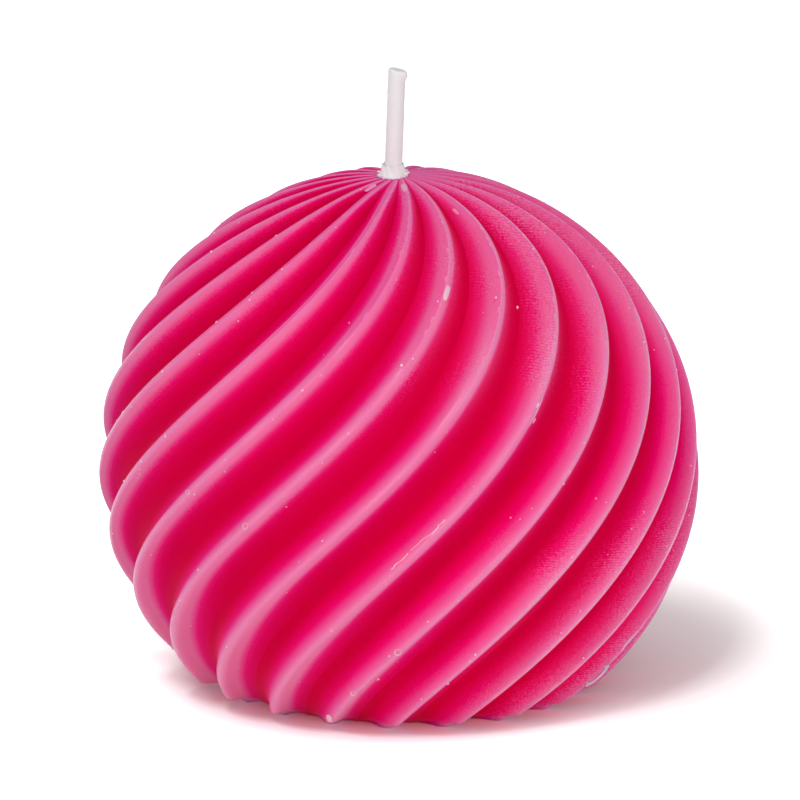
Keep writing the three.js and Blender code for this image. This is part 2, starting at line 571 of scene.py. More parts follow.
        # Handling has rubbed the crests to a low gloss. The hollows keep the mould's matt skin.
        glossy, matt = self.polish_edge
        polish = wax.add(
            "MapRange",
            {
                "Value": away,
                "From Min": glossy,
                "From Max": matt,
                "To Min": self.polish,
                "To Max": 0.0,
            },
            interpolation_type="SMOOTHSTEP",
        )
        bump = wax.add("Bump", {"Height": grain, "Strength": 0.35, "Distance": mm(0.03)})
        shader = wax.add(
            "BsdfPrincipled",
            {
                "Base Color": wear_and_sheen.outputs[MIX_RESULT],
                "Roughness": self.roughness,
                "IOR": self.ior,
                "Specular IOR Level": 0.0,
                "Coat Weight": polish.outputs["Result"],
                "Coat Roughness": 0.14,
                "Coat IOR": self.ior,
                "Sheen Weight": 0.15,
                "Sheen Roughness": 0.35,
                "Sheen Tint": linear(self.dust),
                "Subsurface Weight": 1.0,
                "Subsurface Radius": self.scatter,
                "Subsurface Scale": mm(1.0),
                "Normal": bump.outputs["Normal"],
            },
        )
        return wax.finish(shader.outputs["BSDF"])


@dataclass(frozen=True)
class PrimingWax:
    """Hard white paraffin that stiffens the wick.

    It is smooth from dipping, whitish and slightly clear, so its edges look soft.
    """

    white: str = "#ffffff"
    shade: str = "#fbf6f8"
    roughness: float = 0.45
    run_count: float = 0.9

    def make(self) -> bpy.types.Material:
        """Builds the material.

        Returns:
            The material.
        """
        wax = Coating("priming_wax")
        place = wax.add("TexCoord").outputs["Object"]
        runs = wax.add(
            "TexNoise", {"Vector": place, "Scale": per_mm(self.run_count), "Detail": 2.0}
        )
        tone = wax.add("ValToRGB", {"Fac": runs.outputs["Fac"]})
        tone.color_ramp.elements[0].color = linear(self.shade)
        tone.color_ramp.elements[1].color = linear(self.white)
        bump = wax.add(
            "Bump", {"Height": runs.outputs["Fac"], "Strength": 0.3, "Distance": mm(0.04)}
        )
        shader = wax.add(
            "BsdfPrincipled",
            {
                "Base Color": tone.outputs["Color"],
                "Roughness": self.roughness,
                "IOR": 1.43,
                "Subsurface Weight": 0.6,
                "Subsurface Radius": (1.0, 0.9, 0.9),
                "Subsurface Scale": mm(0.8),
                "Normal": bump.outputs["Normal"],
            },
        )
        return wax.finish(shader.outputs["BSDF"])


@dataclass(frozen=True)
class CottonBraid:
    """Bleached cotton yarn soaked in wax: matt, off-white, with fine fibres along the strands."""

    white: str = "#f2ece2"
    shade: str = "#d8cdbd"
    fibre_count: float = 4.0

    def make(self) -> bpy.types.Material:
        """Builds the material.

        Returns:
            The material.
        """
        cotton = Coating("cotton_braid")
        place = cotton.add("TexCoord").outputs["Object"]
        fibres = cotton.add(
            "TexNoise", {"Vector": place, "Scale": per_mm(self.fibre_count), "Detail": 3.0}
        )
        tone = cotton.add("ValToRGB", {"Fac": fibres.outputs["Fac"]})
        tone.color_ramp.elements[0].color = linear(self.shade)
        tone.color_ramp.elements[1].color = linear(self.white)
        bump = cotton.add(
            "Bump", {"Height": fibres.outputs["Fac"], "Strength": 0.5, "Distance": mm(0.05)}
        )
        shader = cotton.add(
            "BsdfPrincipled",
            {
                "Base Color": tone.outputs["Color"],
                "Roughness": 0.85,
                "Normal": bump.outputs["Normal"],
            },
        )
        return cotton.finish(shader.outputs["BSDF"])


@dataclass(frozen=True)
class Tinplate:
    """Thin steel sheet with a bright tin finish, stamped: soft streaks and a low sheen."""

    tin: str = "#c4c6c8"
    smoothest: float = 0.22
    roughest: float = 0.42
    streak_count: float = 0.3

    def make(self) -> bpy.types.Material:
        """Builds the material.

        Returns:
            The material.
        """
        tin = Coating("tinplate")
        place = tin.add("TexCoord").outputs["Object"]
        stretch = tin.add("Mapping", {"Vector": place, "Scale": (1.0, 12.0, 1.0)})
        streaks = tin.add(
            "TexNoise",
            {
                "Vector": stretch.outputs["Vector"],
                "Scale": per_mm(self.streak_count),
                "Detail": 3.0,
            },
        )
        rough = tin.add(
            "MapRange",
            {
                "Value": streaks.outputs["Fac"],
                "To Min": self.smoothest,
                "To Max": self.roughest,
            },
        )
        shader = tin.add(
            "BsdfPrincipled",
            {
                "Base Color": linear(self.tin),
                "Metallic": 1.0,
                "Roughness": rough.outputs["Result"],
            },
        )
        return tin.finish(shader.outputs["BSDF"])


# Marks on the wax


class Mark(Enum):
    """What the mould and the handling leave on the wax."""

    BEAD = "bead"
    RING = "ring"
    CURL = "curl"
    SCAR = "scar"


@dataclass(frozen=True)
class Blemish:
    """One mark: its kind, its place over the base and its size along, across and above the ridge."""

    kind: Mark
    spot: tuple[float, float, float]
    size: tuple[float, float, float]
    turn: float = 0.0
    pale: float = 1.0


class Blanks:
    """The marks' shapes, each modelled once about a millimetre wide and then copied."""

    def __init__(self) -> None:
        """Models one of each kind."""
        makers = {
            Mark.BEAD: self.bead,
            Mark.RING: self.ring,
            Mark.CURL: self.curl,
            Mark.SCAR: self.scar,
        }
        self.shapes: dict[Mark, bpy.types.Object] = {}
        for kind, maker in makers.items():
            deselect_all()
            self.shapes[kind] = maker()

    def bead(self) -> bpy.types.Object:
        """Models a lumpy bead.

        Returns:
            The bead.
        """
        bpy.ops.mesh.primitive_ico_sphere_add(subdivisions=2, radius=mm(0.5))
        bead = name_new("bead")
        with editing(bead):
            bpy.ops.transform.vertex_random(offset=mm(0.06), uniform=1.0, seed=3)
        return bead

    def ring(self) -> bpy.types.Object:
        """Models the rim of a burst bubble, thinner on one side.

        Returns:
            The rim.
        """
        bpy.ops.mesh.primitive_torus_add(
            major_segments=22, minor_segments=6, major_radius=mm(0.41), minor_radius=mm(0.09)
        )
        ring = name_new("ring")
        push(ring, -0.05, lambda point: ease(0.5 + point.x / mm(0.8)))
        return ring

    def curl(self) -> bpy.types.Object:
        """Models a lifted lip: a ring that thins to nothing on one side.

        Returns:
            The lip.
        """
        bpy.ops.mesh.primitive_torus_add(
            major_segments=26, minor_segments=8, major_radius=mm(0.38), minor_radius=mm(0.12)
        )
        curl = name_new("curl")
        push(curl, -0.115, lambda point: ease(0.5 - point.y / mm(0.5)))
        return curl

    def scar(self) -> bpy.types.Object:
        """Models the scoop that shaves a crest.

        Returns:
            The scoop.
        """
        bpy.ops.mesh.primitive_uv_sphere_add(segments=24, ring_count=12, radius=mm(0.5))
        scar = name_new("scar")
        with editing(scar):
            bpy.ops.transform.vertex_random(offset=mm(0.02), uniform=1.0, seed=5)
        return scar

    def copy(self, mark: Blemish, frame_here: Matrix) -> bpy.types.Object:
        """Copies a shape to its place on the wax.

        Args:
            mark: The mark.
            frame_here: Its place, with X along the ridge and Z out of the wax.

        Returns:
            The placed copy, with its paleness stored on its faces.
        """
        select_only(self.shapes[mark.kind])
        bpy.ops.object.duplicate()
        copy = bpy.context.object
        turned_here = frame_here @ Matrix.Rotation(math.radians(mark.turn), 4, "Z")
        copy.matrix_world = turned_here @ Matrix.Diagonal((*mark.size, 1.0))
        bpy.ops.object.transform_apply(location=True, rotation=True, scale=True)
        add_face_value(copy, "scuffed", mark.pale)
        add_corner_value(copy, "across", lambda place, middle: 0.5)
        return copy

    def clear(self) -> None:
        """Removes the shapes once they are copied."""
        for shape in self.shapes.values():
            bpy.data.objects.remove(shape)


Batch = list[tuple[bpy.types.Object, Blemish]]


def add_apart(batches: list[Batch], copy: bpy.types.Object, mark: Blemish) -> None:
    """Adds a mark to the first batch whose marks all keep clear of it.

    Args:
        batches: The batches so far.
        copy: The mark's object.
        mark: What it is, with its place and size.
    """
    for batch in batches:
        reaches = (
            math.dist(mark.spot, other.spot) - (max(mark.size) + max(other.size)) / 2
            for _, other in batch
        )
        if min(reaches) > 0.1:
            batch.append((copy, mark))
            return
    batches.append([(copy, mark)])


def join(pieces: list[bpy.types.Object], name: str) -> bpy.types.Object:
    """Joins objects to one.

    Args:
        pieces: The objects.
        name: The joined object's name.

    Returns:
        The joined object.
    """
    select_only(*pieces)
    if len(pieces) > 1:
        bpy.ops.object.join()
    return name_new(name)


# The wax ball


@dataclass(frozen=True)
class Thread:
    """A thin raised line along a ridge: its run in mm of height and its share aside at each end."""

    ridge: int
    low: float
    high: float
    start: float
    end: float
    wander: float
    seed: int
    width: float = 0.16
    stride: float = 0.35
    pale: float = 1.0


# Places are in mm over the base, measured in the photo and rounded. Turns are in degrees.
MARKS: tuple[Blemish, ...] = (
    Blemish(Mark.BEAD, (6.3, -25.2, 59.5), (2.7, 0.85, 0.4), pale=0.75),
    Blemish(Mark.BEAD, (0.3, -32.9, 51.8), (0.45, 0.4, 0.35)),
    Blemish(Mark.BEAD, (1.9, -32.6, 52.6), (0.26, 0.26, 0.26)),
    Blemish(Mark.SCAR, (18.1, -31.0, 45.0), (5.0, 1.2, 0.6), pale=0.4),
    Blemish(Mark.BEAD, (18.0, -31.4, 46.0), (0.9, 0.3, 0.25), pale=0.9),
    Blemish(Mark.BEAD, (17.9, -31.1, 45.0), (0.7, 0.25, 0.25), pale=0.8),
    Blemish(Mark.BEAD, (17.7, -30.9, 43.7), (0.9, 0.3, 0.25), pale=0.8),
    Blemish(Mark.RING, (-0.2, -36.9, 14.0), (1.15, 1.0, 0.8), pale=0.6),
    Blemish(Mark.RING, (-20.2, -34.8, 30.6), (1.0, 0.9, 0.8), pale=0.6),
    Blemish(Mark.RING, (-27.9, -28.8, 33.5), (0.9, 0.7, 0.8), turn=120, pale=0.5),
    Blemish(Mark.RING, (-6.1, -32.3, 7.0), (0.9, 0.8, 0.8), pale=0.7),
    Blemish(Mark.BEAD, (-9.2, -26.7, 1.9), (1.7, 1.2, 0.45), pale=0.75),
    Blemish(Mark.BEAD, (-2.7, -31.0, 8.5), (0.5, 0.3, 0.3)),
    Blemish(Mark.CURL, (26.1, -16.6, 4.8), (4.6, 1.5, 1.0), turn=180, pale=0.7),
    Blemish(Mark.SCAR, (30.6, -14.9, 8.8), (4.0, 1.2, 0.7), pale=0.4),
    Blemish(Mark.BEAD, (-31.1, -18.1, 46.9), (0.5, 0.3, 0.3), pale=0.8),
    Blemish(Mark.CURL, (-36.5, -12.9, 39.7), (1.1, 0.8, 0.5), pale=0.8),
    Blemish(Mark.BEAD, (-33.9, -20.6, 35.3), (0.6, 0.35, 0.3), pale=0.7),
    Blemish(Mark.BEAD, (15.5, -20.6, 56.3), (0.45, 0.3, 0.3)),
    Blemish(Mark.BEAD, (0.7, -5.5, 68.4), (2.8, 0.9, 0.16), pale=0.22),
    Blemish(Mark.BEAD, (-3.8, -4.4, 68.1), (2.4, 0.8, 0.14), pale=0.2),
    Blemish(Mark.BEAD, (7.4, -9.7, 66.4), (1.5, 0.5, 0.14), pale=0.18),
)

THREADS: tuple[Thread, ...] = (
    Thread(15, 26.2, 28.5, -0.088, -0.085, wander=0.014, seed=2),
    Thread(15, 28.9, 32.9, -0.085, -0.05, wander=0.026, seed=4),
)


@dataclass(frozen=True)
class Bore:
    """The stepped hole up the ball, a little wider than what sits in it, from the base up."""

    disc_radius: float = 7.7
    disc_top: float = 1.1
    mouth_radius: float = 2.235
    throat_radius: float = 1.9
    throat_top: float = 1.5
    neck_radius: float = 1.835
    neck_top: float = 7.1
    wick_radius: float = WICK_BORE
    seat_radius: float = 2.0
    seat: float = 68.5

    def cutter(self, axis: float) -> bpy.types.Object:
        """Makes the plug that clears the sustainer, the wick and the collar's seat.

        Args:
            axis: Its place along X in mm.

        Returns:
            The plug, which stands out at both ends.
        """
        profile = [
            (self.disc_radius, -1.0),
            (self.disc_radius, self.disc_top),
            (self.mouth_radius, self.disc_top),
            (self.throat_radius, self.throat_top),
            (self.neck_radius, self.neck_top),
            (self.wick_radius, self.neck_top),
            (self.wick_radius, self.seat),
            (self.seat_radius, self.seat),
            (self.seat_radius, self.seat + 1.5),
        ]
        return turned("bore_cutter", profile, sides=48, axis=axis, hollow=False)


@dataclass
class WaxBall:
    """The cast ball: twisted ridges and flutes over a round body, a flat base and a middle bore."""

    width: float = 80.0
    waist_height: float = 29.6
    crown_rise: float = 39.3
    ridges: int = 20
    lead: float = 245.0
    ridge_angle: float = 4.7
    crest_radius: float = 0.85
    flank: float = math.radians(68)
    columns: int = 28
    start_segments: int = 40
    rings: int = 202
    deepest: float = 3.2
    fade_start: float = 1.5
    fade_reach: float = 13.0
    foot_rise: float = 1.2
    foot_inset: float = 1.3
    beads: int = 70
    bead_rises: tuple[float, float] = (-0.72, 0.9)
    bead_widths: tuple[float, float] = (0.16, 0.3)
    # The least share of grain and painted sheen, anywhere on the ball.
    grain_and_sheen_least: float = 0.25
    base_tone: float = 0.3
    axis: float = WICK_AXIS
    bore: Bore = field(default_factory=Bore)
    finish: DyedParaffin = field(default_factory=DyedParaffin)

    @property
    def radius(self) -> float:
        """Half the width over the ridges."""
        return self.width / 2

    def pitch(self, angle: float) -> float:
        """Width of one flute, square to its ridges.

        Args:
            angle: The level, as an angle from the crown.

        Returns:
            The width in mm.
        """
        level = self.radius * math.sin(angle)
        along = math.hypot(self.radius * math.cos(angle), self.crown_rise * math.sin(angle))
        turn = math.tau / self.lead * self.crown_rise * math.sin(angle) / along
        return math.tau * level / self.ridges * math.cos(math.atan(level * turn))

    def depth(self, share: float, pitch: float) -> float:
        """Depth of a flute below its ridges: a round crest that runs into a scooped hollow.

        Args:
            share: Share of the pitch from the nearest crest, from 0 to a half.
            pitch: The flute's width in mm.

        Returns:
            The depth in mm.
        """
        both = pitch / (2 * math.sin(self.flank))
        crest = min(self.crest_radius, both / 2)
        hollow = both - crest
        out = share * pitch
        if out <= crest * math.sin(self.flank):
            return crest - math.sqrt(crest * crest - out * out)
        rest = pitch / 2 - out
        floor = both * (1 - math.cos(self.flank))
        return floor - hollow + math.sqrt(max(0.0, hollow * hollow - rest * rest))

    def place(self, point: Vector) -> tuple[float, float, float]:
        """Finds a point of the plain round body on the swirl.

        Args:
            point: The point in metres.

        Returns:
            Its angle from the crown, its height in mm and its signed share of the pitch.
        """
        height = point.z * 1000
        angle = math.acos(max(-1.0, min(1.0, (height - self.waist_height) / self.crown_rise)))
        turn = math.degrees(math.atan2(point.y, point.x)) - self.ridge_angle
        turn -= 360 * (height - self.waist_height) / self.lead
        share = turn * self.ridges / 360
        return angle, height, share - round(share)

    def sink(self, point: Vector) -> float:
        """Share of the deepest cut at a point of the round body.

        The flutes grow shallow at the crown. At the base the ridges turn in, more on the left.

        Args:
            point: The point in metres.

        Returns:
            A share from 0 to 1.
        """
        angle, height, share = self.place(point)
        if math.sin(angle) < 0.002:
            return 0.0
        cut = self.depth(abs(share), self.pitch(angle))
        away = self.radius * math.sin(angle)
        cut *= 0.3 + 0.7 * ease((away - self.fade_start) / self.fade_reach)
        outward = Vector((self.crown_rise * math.sin(angle), self.radius * math.cos(angle)))
        outward.normalize()
        level = height - cut * outward.y
        side = 0.5 - 0.5 * point.x / mm(self.radius)
        inset = self.foot_inset * (0.25 + 1.1 * side)
        cut += inset * ease(1 - level / self.foot_rise) * (1 - 2 * abs(share))
        return min(1.0, cut / self.deepest)

    def on_ridge(self, spot: tuple[float, float, float], ball: bpy.types.Object) -> Matrix:
        """Finds the wax's surface nearest to a spot, and how its ridge runs there.

        Args:
            spot: A place in mm.
            ball: The wax so far.

        Returns:
            The place in metres, with X along the ridge and Z out of the wax.
        """
        near = Vector([mm(value) for value in spot])
        _, point, outward, _ = ball.closest_point_on_mesh(near)
        rise = (point.z * 1000 - self.waist_height) / self.crown_rise
        level = math.hypot(point.x, point.y) * 1000
        shrink = -rise * self.radius**2 / self.crown_rise / max(level, 1.0)
        flat = Vector((point.x, point.y, 0)).normalized()
        side = Vector((-flat.y, flat.x, 0))
        along = flat * shrink + side * level * math.tau / self.lead + Vector((0, 0, 1))
        across = outward.cross(along).normalized()
        along = across.cross(outward).normalized()
        turn = Matrix((along, across, outward)).transposed().to_4x4()
        return Matrix.Translation(point) @ turn

    def spot_on(self, ridge: int, height: float, share: float) -> tuple[float, float, float]:
        """Finds a place just over the ridges.

        Args:
            ridge: The ridge's number, counted round from +X.
            height: The height in mm.
            share: The share of a flute to the side of the crest.

        Returns:
            The place in mm.
        """
        turn = self.ridge_angle + 360 * (height - self.waist_height) / self.lead
        turn = math.radians(turn + 360 * (ridge + share) / self.ridges)
        rise = (height - self.waist_height) / self.crown_rise
        level = self.radius * math.sqrt(max(0.0, 1 - rise * rise))
        return level * math.cos(turn), level * math.sin(turn), height

    def thread(self, ball: bpy.types.Object, line: Thread) -> bpy.types.Object:
        """Draws a thin raised line of wax along a ridge.

        Args:
            ball: The wax so far.
            line: Where it runs.

        Returns:
            The line, partly sunk in the wax.
        """
        chance = random.Random(line.seed)
        steps = max(4, round((line.high - line.low) / line.stride))
        points = []
        for step in range(steps + 1):
            share = line.start + (line.end - line.start) * step / steps
            share += chance.uniform(-1, 1) * line.wander
            height = line.low + (line.high - line.low) * step / steps
            points.append(self.on_ridge(self.spot_on(line.ridge, height, share), ball).translation)
        deselect_all()
        bpy.ops.mesh.primitive_circle_add(
            vertices=6, radius=mm(line.width / 2), fill_type="NGON", location=points[0]
        )
        thread = name_new("thread")
        with editing(thread, "FACE"):
            for start, end in zip(points, points[1:]):
                bpy.ops.mesh.extrude_region_move(TRANSFORM_OT_translate={"value": end - start})
                swell = chance.uniform(0.8, 1.25)
                bpy.ops.transform.resize(value=(swell, swell, 1), center_override=end)
        settle(thread, merge=MERGE)
        add_face_value(thread, "scuffed", line.pale)
        add_corner_value(thread, "across", lambda place, middle: 0.5)
        return thread

    def blemish(self, ball: bpy.types.Object) -> None:
        """Cuts the scars and adds the raised marks.

        Args:
            ball: The wax so far.
        """
        blanks = Blanks()
        cuts: list[Batch] = []
        raised: list[Batch] = []
        for mark in [*MARKS, *self.scatter_beads()]:
            copy = blanks.copy(mark, self.on_ridge(mark.spot, ball))
            add_apart(cuts if mark.kind is Mark.SCAR else raised, copy, mark)
        blanks.clear()
        lines = [self.thread(ball, line) for line in THREADS]
        for batch in cuts:
            self.combine(ball, [copy for copy, _ in batch], "DIFFERENCE")
        for batch in raised:
            self.combine(ball, [copy for copy, _ in batch], "UNION")
        self.combine(ball, lines, "UNION")

    def combine(self, ball: bpy.types.Object, pieces: list[bpy.types.Object], how: str) -> None:
        """Cuts or joins pieces that keep apart from each other.

        Where the solver loses the wax, the wax is put back and the pieces are left out.

        Args:
            ball: The wax so far.
            pieces: The pieces.
            how: DIFFERENCE or UNION.
        """
        tool = join(pieces, "marks")
        before = len(ball.data.polygons)
        spare = ball.data.copy()
        finish_modifier(ball, "BOOLEAN", operation=how, solver="EXACT", object=tool)
        bpy.data.objects.remove(tool)
        after = len(ball.data.polygons)
        log.info("%s took the wax from %d to %d faces", how, before, after)
        lost = ball.data if after < 0.9 * before else spare
        if lost is not spare:
            log.warning("%s lost the wax, so %d marks are left out", how, len(pieces))
            ball.data = spare
        bpy.data.meshes.remove(lost)
        ball.data.name = ball.name

    def scatter_beads(self) -> list[Blemish]:
        """Places small beads of wax on the crests by chance.

        Returns:
            The beads.
        """
        chance = random.Random(11)
        beads = []
        for _ in range(self.beads):
            height = self.waist_height + self.crown_rise * chance.uniform(*self.bead_rises)
            share = chance.gauss(0, 0.07)
            spot = self.spot_on(chance.randrange(self.ridges), height, share)
            width = chance.uniform(*self.bead_widths)
            beads.append(Blemish(Mark.BEAD, spot, (width * chance.uniform(1, 1.6), width, width)))
        return beads

    def painted_light_share(self, point: Vector, middle: Vector) -> float:
        """Places a point across its ridge: 0 in the hollow on one side, 0.5 on the crest, then 1.

        It is the same all round the ball. The crest's pale band is a painted highlight and the
        hollows are painted shade. The band reaches further down the upper faces near the crown and
        the lower faces near the base, where more light falls, and on each side of a crest it reaches
        differently. Both reaches were matched to the photo.

        Args:
            point: The point of the round body in metres.
            middle: The middle of its face, which tells the hollow's one side from the other.

        Returns:
            A share from 0 to 1.
        """
        _, height, share = self.place(point)
        share -= round(share - self.place(middle)[2])
        rise = (height - self.waist_height) / self.crown_rise
        high = ease((rise - 0.3) / 0.6)
        if share < 0:
            reach = 0.86 + 0.5 * high
            reach -= 0.12 * ease((-rise - 0.1) / 0.4)
        else:
            reach = 0.9 + 0.9 * ease((-rise - 0.1) / 0.5)
        away = share / reach
        # At the crown the painted pale band takes in more of each flute, without its palest middle.
        level = math.hypot(point.x, point.y) * 1000
        away *= 0.4 + 0.6 * ease((level - self.fade_start) / 11.0)
        gap = 0.11 * ease((rise - 0.3) / 0.5)
        away = math.copysign(max(abs(away), gap), away)
        return min(1.0, max(0.0, 0.5 + away))

    def grain_and_sheen_at(self, point: Vector) -> float:
        """Share of grain and painted sheen at a point: most high on the right and low on the right.

        The grain is a texture, and the white that it brings to the crests is a painted sheen. It is
        set by place, from where the photo shows grain. What the photo hides is a guess.

        Args:
            point: The point of the round body in metres.

        Returns:
            A share from 0 to 1.
        """
        across = point.x / mm(self.radius)
        rise = (point.z * 1000 - self.waist_height) / self.crown_rise
        high = ease((across + 0.15) / 0.4) * ease((rise - 0.25) / 0.3)
        low = ease((across - 0.15) / 0.3) * ease((0.1 - rise) / 0.3)
        return self.grain_and_sheen_least + (1 - self.grain_and_sheen_least) * max(high, low)

    def round_body(self) -> bpy.types.Object:
        """Makes the plain body whose mesh lines already follow the ridges.

        Returns:
            The body over the ridges, at its place.
        """
        deselect_all()
        bpy.ops.mesh.primitive_uv_sphere_add(
            segments=self.start_segments, ring_count=self.rings, radius=mm(self.radius)
        )
        body = name_new("ball_wax")
        with editing(body, "EDGE") as shell:
            bpy.ops.mesh.select_all(action="DESELECT")
            for edge in shell.edges:
                one, other = edge.verts
                edge.select = abs(one.co.z - other.co.z) < 1e-7
            shell.select_flush_mode()
            bmesh.update_edit_mesh(body.data)
            cuts = self.columns * self.ridges // self.start_segments - 1
            bpy.ops.mesh.subdivide(number_cuts=cuts, quadcorner="INNERVERT")
        finish_modifier(
            body,
            "CAST",
            cast_type="SPHERE",
            factor=1.0,
            size=mm(self.radius),
            use_radius_as_size=False,
        )
        with editing(body):
            bpy.ops.transform.resize(value=(1, 1, self.crown_rise / self.radius))
        twist = math.tau * 2 * self.crown_rise / self.lead
        finish_modifier(
            body, "SIMPLE_DEFORM", deform_method="TWIST", deform_axis="Z", angle=twist
        )
        with editing(body):
            bpy.ops.transform.rotate(
                value=-math.radians(self.ridge_angle), orient_axis="Z", center_override=(0, 0, 0)
            )
            bpy.ops.transform.translate(value=(0, 0, mm(self.waist_height)))
        return body

    def drop_loose(self, ball: bpy.types.Object) -> None:
        """Deletes any mark that a cut has left loose from the wax.

        Args:
            ball: The finished wax.
        """
        with editing(ball) as shell:
            bpy.ops.mesh.select_all(action="DESELECT")
            lowest = min(shell.verts, key=lambda vertex: vertex.co.z)
            lowest.select = True
            shell.select_flush_mode()
            bmesh.update_edit_mesh(ball.data)
            bpy.ops.mesh.select_linked()
            bpy.ops.mesh.select_all(action="INVERT")
            bpy.ops.mesh.delete(type="VERT")

    def even_base(self, ball: bpy.types.Object) -> None:
        """Gives the flat base and the bore one even tone.

        Args:
            ball: The finished wax.
        """
        mesh = ball.data
        across = mesh.attributes["across"].data
        for face in mesh.polygons:
            low = face.center.z < mm(0.02) and face.normal.z < -0.99
            away = math.hypot(face.center.x - mm(self.axis), face.center.y)
            inside = away < mm(self.bore.disc_radius + 0.1) and face.center.z < mm(60)
            if low or inside:
                for corner in face.loop_indices:
                    across[corner].value = self.base_tone

    def build(self) -> bpy.types.Object:
        """Shapes the ball.

        Returns:
            The finished piece.
        """
        ball = self.round_body()
        # Where each point sits on the tones of painted highlight and painted shade.
        add_corner_value(ball, "across", self.painted_light_share)
        # Where the grain and its painted sheen lie.
        add_point_value(ball, "grain_and_sheen", self.grain_and_sheen_at)
        add_face_value(ball, "scuffed", 0.0)
        push(ball, -self.deepest, self.sink)
        self.blemish(ball)
        with editing(ball):
            bpy.ops.mesh.bisect(
                plane_co=(0, 0, 0),
                plane_no=(0, 0, 1),
                use_fill=True,
                clear_inner=True,
                threshold=mm(0.001),
            )
        cutter = self.bore.cutter(self.axis)
        finish_modifier(ball, "BOOLEAN", operation="DIFFERENCE", solver="EXACT", object=cutter)
        bpy.data.objects.remove(cutter)
        self.even_base(ball)
        settle(ball, merge=MERGE)
        self.drop_loose(ball)
        smooth(ball, 50)
        dress(ball, self.finish.make(), "wax_body")
        return ball


# The wick


@dataclass
class Wick:
    """The braid and its coat of hard wax, upright in the ball and leaning a little above it.

    The cut end slopes down to the right, and its lip bulges that way.
    """

    foot: float = 0.6
    crown: float = 68.9
    top: float = 83.4
    coat_radius: float = 1.175
    bore: float = 0.85
    braid_radius: float = 0.75
    strand_radius: float = 0.36
    braid_turns: float = 12
    axis: float = WICK_AXIS
    lean: float = math.radians(2)
    rounding: float = 0.25
    pinhole: float = 0.3
    slope: float = 0.35
    slope_reach: float = 1.5
    slope_span: float = 2.4
    lip: float = 0.28
    lip_drop: float = 1.0
    lip_reach: float = 0.9
    lip_span: float = 1.2

    @property
    def tip(self) -> float:
        """Place of the leaning wick's middle at its top, along X in mm."""
        return self.axis + (self.top - self.crown) * math.tan(self.lean)

    def sloped(self, point: Vector) -> float:
        """Weighs how far the cut end drops: most at the top, on the right."""
        near_top = ease((point.z * 1000 - self.top + self.slope_reach) / self.slope_reach)
        return near_top * ease(0.5 + (point.x * 1000 - self.tip) / self.slope_span)

    def lipped(self, point: Vector) -> float:
        """Weighs how far the lip bulges: most a little under the top, on the right."""
        level = abs(point.z * 1000 - self.top + self.lip_drop)
        return ease((point.x * 1000 - self.tip) / self.lip_span) * ease(1 - level / self.lip_reach)

    def lean_over(self, piece: bpy.types.Object) -> None:
        """Leans what stands above the crown towards +X.

        Args:
            piece: The upright piece.
        """
        rise = self.top - self.crown
        push(
            piece,
            rise * math.tan(self.lean),
            lambda point: max(0.0, (point.z * 1000 - self.crown) / rise),
            "X",
        )

    def coat(self) -> bpy.types.Object:
        """Dips the wick: a thin tube of wax with a rounded cut end.

        Returns:
            The finished piece.
        """
        steps = 30
        levels = [
            self.crown + (self.top - self.rounding - self.crown) * i / steps
            for i in range(steps + 1)
        ]
        corner = [
            (
                self.coat_radius - self.rounding + self.rounding * math.cos(turn),
                self.top - self.rounding + self.rounding * math.sin(turn),
            )
            for turn in (math.radians(22.5 * i) for i in range(1, 5))
        ]
        profile = [
            (self.bore, self.foot),
            (self.coat_radius, self.foot),
            *((self.coat_radius, level) for level in levels),
            *corner,
            (self.pinhole, self.top - 0.05),
            (self.pinhole, self.top - 0.3),
            (self.bore, self.top - 0.4),
            (self.bore, self.crown),
        ]
        coat = turned("wick_coat", profile, sides=40, axis=self.axis, hollow=True)
        self.lean_over(coat)
        push(coat, -self.slope, self.sloped, "Z")
        push(coat, self.lip, self.lipped, "X")
        smooth(coat, 50)
        dress(coat, PrimingWax().make(), "wick_wax_coat")
        return coat

    def braid(self) -> bpy.types.Object:
        """Twists three cotton strands together, which end just inside the coat's cut end.

        Returns:
            The finished piece.
        """
        off_axis = self.braid_radius - self.strand_radius
        steps = 120
        high = self.top - 0.6
        levels = [self.foot + (high - self.foot) * i / steps for i in range(steps + 1)]
        strand = turned(
            "wick_braid_core",
            [(self.strand_radius, level) for level in levels],
            sides=10,
            axis=self.axis + off_axis,
            hollow=False,
        )
        with editing(strand, "FACE"):
            for _ in range(2):
                bpy.ops.mesh.duplicate()
                bpy.ops.transform.rotate(
                    value=math.radians(120),
                    orient_axis="Z",
                    center_override=(mm(self.axis), 0, 0),
                )
            bpy.ops.mesh.select_all(action="SELECT")
            bpy.ops.transform.translate(value=(-mm(self.axis), 0, 0))
        finish_modifier(
            strand,
            "SIMPLE_DEFORM",
            deform_method="TWIST",
            deform_axis="Z",
            angle=math.tau * self.braid_turns,
        )
        with editing(strand):
            bpy.ops.transform.translate(value=(mm(self.axis), 0, 0))
        self.lean_over(strand)
        smooth(strand, 60)
        dress(strand, CottonBraid().make(), "wick_braid")
        return strand

    def build(self) -> list[bpy.types.Object]:
        """Builds the braid and its coat."""
        return [self.coat(), self.braid()]


